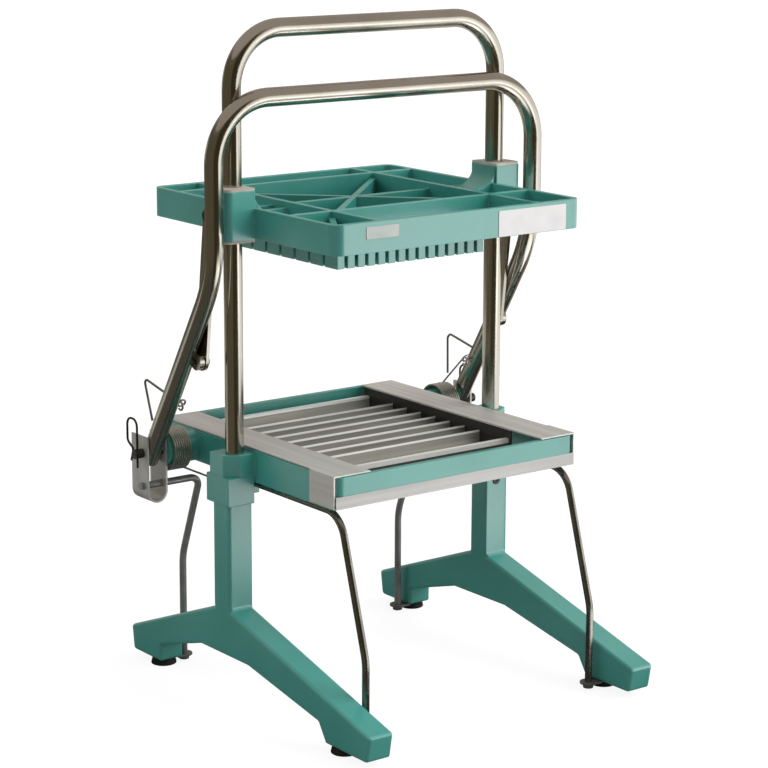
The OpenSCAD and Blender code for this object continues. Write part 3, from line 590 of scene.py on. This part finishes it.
# Feet of the stays: metres, from the guide posts' plane
STAY_X, STAY_FRONT, STAY_REAR = 0.14545, -0.194, 0.136
PLATE_R, PLATE_REACH, PLATE_T, PLATE_TOP = 0.009, 0.012, 0.0024, 0.008
SLEEVE_R, SLEEVE_FOOT, SLEEVE_LAP = 0.0055, 0.0012, 0.0002
PLATE_ROUND, PLATE_ROUND_STEPS = 0.0005, 2
EYE_STEPS, SLEEVE_SIDES = 18, 24


def prism(bm, outline, low, high):
    """Upright solid on an outline that runs anticlockwise seen from above."""
    rings = [[bm.verts.new((x, y, z)) for x, y in outline] for z in (low, high)]
    count = len(outline)
    for i in range(count):
        k = (i + 1) % count
        bm.faces.new((rings[0][i], rings[0][k], rings[1][k], rings[1][i]))
    bm.faces.new(rings[0][::-1])
    bm.faces.new(rings[1])


def stay_plates():
    """Plates under the castings that hold the stays' feet, each with a sleeve below it."""
    half_round = [math.pi / 2 + math.pi * i / EYE_STEPS for i in range(EYE_STEPS + 1)]
    full_round = [2 * math.pi * i / SLEEVE_SIDES for i in range(SLEEVE_SIDES)]
    eye = [(PLATE_R * math.cos(t), PLATE_R * math.sin(t)) for t in half_round]
    tab = [(PLATE_REACH, -PLATE_R), (PLATE_REACH, PLATE_R)]
    ring = [(SLEEVE_R * math.cos(t), SLEEVE_R * math.sin(t)) for t in full_round]
    plate_bottom = PLATE_TOP - PLATE_T
    bm = bmesh.new()
    for side in (-1, 1):
        for stay_y in (STAY_FRONT, STAY_REAR):
            mid_x, mid_y = side * STAY_X, POST_Y + stay_y
            outline = [(mid_x + side * x, mid_y + side * y) for x, y in eye + tab]
            prism(bm, outline, plate_bottom, PLATE_TOP)
            prism(bm, [(mid_x + x, mid_y + y) for x, y in ring], SLEEVE_FOOT, plate_bottom + SLEEVE_LAP)
    bmesh.ops.recalc_face_normals(bm, faces=bm.faces)
    obj = finished(bm, "stay_plates", clip_steel)
    soften(obj, PLATE_ROUND, PLATE_ROUND_STEPS)
    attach(obj, "frame")
    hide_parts("stay_clips")


stay_plates()
boss_fillet("boss_fillet_left", -1)
boss_fillet("boss_fillet_right", 1)
plate("small_plate", SMALL_PLATE, plate_face("small_plate_face", (0.33, 0.36, 0.335), (0.45, 0.48, 0.455)))
plate("large_plate", LARGE_PLATE, plate_face("large_plate_face", (0.60, 0.59, 0.59), (0.68, 0.67, 0.67)))

# Floor: half its width in metres, its glow to the camera and the glow's share there
FLOOR, FLOOR_GLOW, GLOW_SHARE = 14, 1.05, 0.85
# Strength of the world's light on the object
AMBIENT = 0.06


def stage_sheet(name, corners, faces, material):
    mesh = bpy.data.meshes.new(name)
    mesh.from_pydata(corners, [], faces)
    obj = new_object(name, mesh, material)
    return obj


def floor_look():
    """Pale floor, which the camera sees as white with the object's shadow on it."""
    look = Look("floor").set(Base_Color=(0.5, 0.5, 0.5, 1), Roughness=0.9)
    out = look.tree.nodes["Material Output"]
    path = look.node("ShaderNodeLightPath")
    glow = look.node("ShaderNodeEmission", Color=(1, 1, 1, 1), Strength=FLOOR_GLOW)
    paper = look.node("ShaderNodeBsdfDiffuse", Color=(0.9, 0.9, 0.9, 1))
    seen = look.node("ShaderNodeMixShader", Fac=GLOW_SHARE)
    look.link(paper.outputs["BSDF"], seen.inputs[1])
    look.link(glow.outputs["Emission"], seen.inputs[2])
    show = look.node("ShaderNodeMixShader")
    look.link(path.outputs["Is Camera Ray"], show.inputs["Fac"])
    look.link(look.bsdf.outputs["BSDF"], show.inputs[1])
    look.link(seen.outputs["Shader"], show.inputs[2])
    look.link(show.outputs["Shader"], out.inputs["Surface"])
    return look.mat


floor_corners = [(-FLOOR, -FLOOR, 0), (FLOOR, -FLOOR, 0), (FLOOR, FLOOR, 0), (-FLOOR, FLOOR, 0)]
stage_sheet("floor", floor_corners, [(0, 1, 2, 3)], floor_look())


def glow_look(name, colour):
    look = Look(name)
    glow = look.node("ShaderNodeEmission", Color=(*colour, 1), Strength=1.0)
    look.link(glow.outputs["Emission"], look.tree.nodes["Material Output"].inputs["Surface"])
    return look.mat


def screen(name, start, end, profile, colour):
    """Part of a round studio screen that only gloss can see.

    Degrees from -Y towards +X, and a profile of (radius, height).
    """
    corners = []
    for i in range(SCREEN_STEPS + 1):
        a = math.radians(start + (end - start) * i / SCREEN_STEPS)
        corners += [(r * math.sin(a), -r * math.cos(a), z) for r, z in profile]
    rows = len(profile)
    faces = [
        (i * rows + k, i * rows + rows + k, i * rows + rows + k + 1, i * rows + k + 1)
        for i in range(SCREEN_STEPS) for k in range(rows - 1)
    ]
    obj = stage_sheet(name, corners, faces, glow_look(name, colour))
    obj.visible_camera = False
    obj.visible_diffuse = False
    obj.visible_shadow = False
    obj.visible_transmission = False


# Screens: metres. LOW is just above the floor
SCREEN_STEPS, LOW, WALL_R, CEILING = 24, 0.0006, 3.6, 3.2
wall = [(2.8, LOW), (3.4, 0.3), (WALL_R, 1.0), (WALL_R, 1.6), (WALL_R, CEILING)]
low_wall = [(3.4, 0.3), (WALL_R, 0.7)]
dark = (0.055, 0.045, 0.022)
olive = (0.13, 0.11, 0.07)
brown = (0.46, 0.40, 0.36)
screen("screen_under", 0, 360, [(0.001, LOW), (0.35, LOW)], (0.06, 0.058, 0.05))
screen("screen_ring", 60, 202, [(0.35, LOW), (0.6, LOW)], (0.035, 0.032, 0.024))
screen("screen_left_near", -158, -40, [(0.35, LOW), (1.0, LOW)], (0.10, 0.095, 0.08))
screen("screen_left_rear", -158, -120, [(1.0, LOW), (1.9, LOW)], (0.62, 0.61, 0.55))
screen("screen_left", -120, -40, [(1.0, LOW), (1.9, LOW)], olive)
screen("screen_left_far", -158, -40, [(1.9, LOW)] + wall, olive)
screen("screen_front", -40, 0, [(0.35, LOW)] + wall, dark)
screen("screen_front_far", 0, 20, [(1.05, LOW)] + wall, dark)
screen("screen_near", 0, 32, [(0.35, LOW), (0.8, LOW)], (2.0, 1.98, 1.94))
screen("screen_near_right", 32, 60, [(0.35, LOW), (0.8, LOW)], (2.4, 2.38, 2.32))
screen("screen_near_edge", 0, 60, [(0.8, LOW), (1.05, LOW)], (0.85, 0.84, 0.81))
screen("screen_mid_near", 20, 45, [(1.05, LOW), (1.25, LOW)], (0.7, 0.69, 0.67))
screen("screen_mid", 20, 45, [(1.25, LOW), (2.05, LOW)], (1.6, 1.58, 1.54))
screen("screen_bright", 20, 45, [(2.05, LOW), (2.6, LOW)], (4.0, 3.96, 3.88))
screen("screen_far", 20, 45, [(2.6, LOW), (2.8, LOW)] + low_wall, (1.7, 1.68, 1.64))
screen("screen_side_near", 60, 103, [(0.6, LOW), (1.05, LOW)], (0.20, 0.195, 0.18))
screen("screen_side", 45, 103, [(1.05, LOW), (2.8, LOW)] + low_wall, (1.4, 1.37, 1.33))
screen("screen_over", 20, 103, [(WALL_R, 0.7), (WALL_R, 1.5)], (1.2, 1.17, 1.08))
screen("screen_over_high", 20, 103, [(WALL_R, 1.5), (WALL_R, CEILING)], brown)
screen("screen_back", 103, 202, [(0.6, LOW), (2.3, LOW)], (0.66, 0.63, 0.56))
screen("screen_back_foot", 103, 202, [(2.3, LOW), (2.8, LOW), (3.4, 0.3)], (0.14, 0.13, 0.11))
screen("screen_back_wall", 103, 202, [(3.4, 0.3), (WALL_R, 1.0), (WALL_R, 1.15)], (0.50, 0.48, 0.43))
screen("screen_back_gap", 103, 202, [(WALL_R, 1.15), (WALL_R, 1.75)], (0.12, 0.115, 0.105))
screen("screen_back_high", 103, 202, [(WALL_R, 1.75), (WALL_R, CEILING)], brown)
screen("screen_top", 0, 360, [(0.001, CEILING), (WALL_R, CEILING)], brown)


def world():
    """Dim for the object, white for the camera, gloss and glass."""
    data = bpy.data.worlds.new("world")
    bpy.context.scene.world = data
    data.use_nodes = True
    tree = data.node_tree
    back = tree.nodes["Background"]
    back.inputs["Color"].default_value = (1, 1, 1, 1)
    path = tree.nodes.new("ShaderNodeLightPath")
    seen = None
    for kind in ("Is Camera Ray", "Is Glossy Ray", "Is Transmission Ray"):
        most = tree.nodes.new("ShaderNodeMath")
        most.operation = "MAXIMUM"
        tree.links.new(path.outputs[kind], most.inputs[0])
        if seen:
            tree.links.new(seen, most.inputs[1])
        seen = most.outputs["Value"]
    level = tree.nodes.new("ShaderNodeMapRange")
    level.inputs["To Min"].default_value = AMBIENT
    level.inputs["To Max"].default_value = 1.0
    tree.links.new(seen, level.inputs["Value"])
    tree.links.new(level.outputs["Result"], back.inputs["Strength"])


def soft_light(name, azimuth, elevation, spread, strength):
    """Wide lamp far away, which gloss doesn't see. Degrees."""
    data = bpy.data.lights.new(name, "SUN")
    data.angle = math.radians(spread)
    data.energy = strength
    obj = bpy.data.objects.new(name, data)
    obj.rotation_euler = (-towards(azimuth, elevation)).to_track_quat("-Z", "Y").to_euler()
    obj.visible_glossy = False
    bpy.context.scene.collection.objects.link(obj)


camera()
world()
soft_light("key", 55, 40, 40, 2.6)
soft_light("low", 45, 4, 30, 1.2)
soft_light("fill", -125, 24, 40, 0.62)
soft_light("top", 10, 78, 60, 0.8)
bpy.context.scene.view_settings.view_transform = "Standard"
